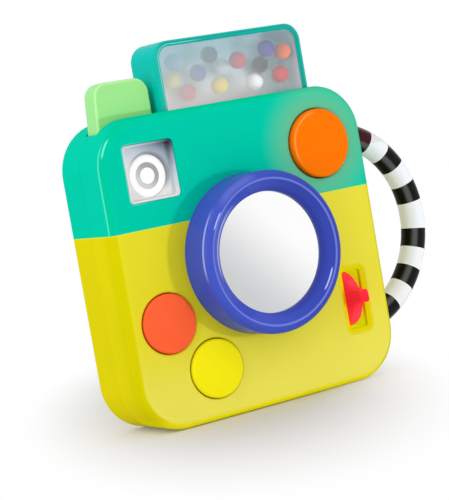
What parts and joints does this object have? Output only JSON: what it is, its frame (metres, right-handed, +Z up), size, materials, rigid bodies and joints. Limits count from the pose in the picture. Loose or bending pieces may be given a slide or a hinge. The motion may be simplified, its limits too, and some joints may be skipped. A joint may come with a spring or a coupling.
{
  "type": "toy camera",
  "caption": "Flat rounded toy camera in two colours, with a mirror in a proud lens ring, push buttons, a flash window, a press tab, a rattle box, a flick lever and a striped ring handle.",
  "frame": {"origin": "middle of the flat bottom face of the case, at half its depth", "axes": "+X to the right seen from the front, -Y out of the front (the lens side), +Z up"},
  "size_m": [0.1618, 0.049, 0.1515],
  "materials": {
    "teal_shell": "satin gloss",
    "yellow_shell": "satin gloss",
    "blue_ring": "glossy",
    "mirror": "polished",
    "white_plastic": "matte",
    "steel": "plated",
    "orange_plastic": "satin, slightly see-through",
    "coral_plastic": "satin",
    "yellow_cap": "satin",
    "silicone": "matte",
    "board": "lacquered",
    "black_plastic": "matte",
    "silver_panel": "silver lacquer",
    "diffuser": "frosted",
    "grey_ring": "matte",
    "teal_box": "satin gloss",
    "bead_grey": "glossy",
    "bead_black": "glossy",
    "bead_purple": "glossy",
    "bead_yellow": "glossy",
    "bead_red": "glossy",
    "bead_white": "glossy",
    "bead_orange": "glossy",
    "green_tab": "satin",
    "red_lever": "satin",
    "handle": "smooth, with black bands",
    "cell_case": "plain wrap",
    "frosted": "frosted clear plastic"
  },
  "bodies": {
    "root": {"front_upper_shell": "teal_shell", "front_lower_shell": "yellow_shell", "rear_upper_shell": "teal_shell", "rear_lower_shell": "yellow_shell", "lens_ring": "blue_ring", "lens_mirror": "mirror", "mirror_carrier": "white_plastic", "lens_ring_screws": "steel", "orange_dome": "silicone", "coral_dome": "silicone", "yellow_dome": "silicone", "circuit_board": "board", "board_screws": "steel", "sound_chip": "black_plastic", "switch_board": "board", "flash_panel": "silver_panel", "flash_lens": "diffuser", "flash_ring": "grey_ring", "flash_led": "diffuser", "led_board": "board", "rattle_housing": "teal_box", "rattle_window": "frosted", "bead_grey": "bead_grey", "bead_black": "bead_black", "bead_purple": "bead_purple", "bead_yellow": "bead_yellow", "bead_red": "bead_red", "bead_white": "bead_white", "bead_orange": "bead_orange", "shutter_spring": "steel", "lever_well": "yellow_shell", "lever_pin": "steel", "click_spring": "steel", "handle_ring": "handle", "speaker": "black_plastic", "speaker_cone": "silicone", "batteries": "cell_case", "battery_contacts": "steel", "battery_springs": "steel", "shell_screws": "steel", "power_switch_body": "black_plastic"},
    "orange_button": {"orange_button": "orange_plastic"},
    "coral_button": {"coral_button": "coral_plastic"},
    "yellow_button": {"yellow_button": "yellow_cap"},
    "shutter_button": {"shutter_button": "green_tab"},
    "click_lever": {"click_lever": "red_lever"},
    "power_switch_slider": {"power_switch_slider": "black_plastic"},
    "battery_door": {"battery_door": "yellow_shell", "battery_door_screw": "steel"}
  },
  "joints": [
    {"name": "orange_press", "type": "slide", "parent": "root", "child": "orange_button", "axis": [0, 1, 0], "range_m": [0, 0.0015], "stiffness_N_per_m": 400, "springref_m": -0.0015, "deforming": ["orange_dome"]},
    {"name": "coral_press", "type": "slide", "parent": "root", "child": "coral_button", "axis": [0, 1, 0], "range_m": [0, 0.0015], "stiffness_N_per_m": 400, "springref_m": -0.0015, "deforming": ["coral_dome"]},
    {"name": "yellow_press", "type": "slide", "parent": "root", "child": "yellow_button", "axis": [0, 1, 0], "range_m": [0, 0.0015], "stiffness_N_per_m": 400, "springref_m": -0.0015, "deforming": ["yellow_dome"]},
    {"name": "shutter_press", "type": "slide", "parent": "root", "child": "shutter_button", "axis": [0, 0, -1], "range_m": [0, 0.005], "stiffness_N_per_m": 300, "springref_m": -0.002, "deforming": ["shutter_spring"]},
    {"name": "lever_flick", "type": "hinge", "parent": "root", "child": "click_lever", "pos_m": [0.0454, -0.0071, 0.0342], "axis": [-1, 0, 0], "range_deg": [-30, 30]},
    {"name": "power_slide", "type": "slide", "parent": "root", "child": "power_switch_slider", "axis": [1, 0, 0], "range_m": [-0.003, 0.003]},
    {"name": "battery_door_lift", "type": "slide", "parent": "root", "child": "battery_door", "axis": [0, 1, 0], "range_m": [0, 0.02]}
  ]
}
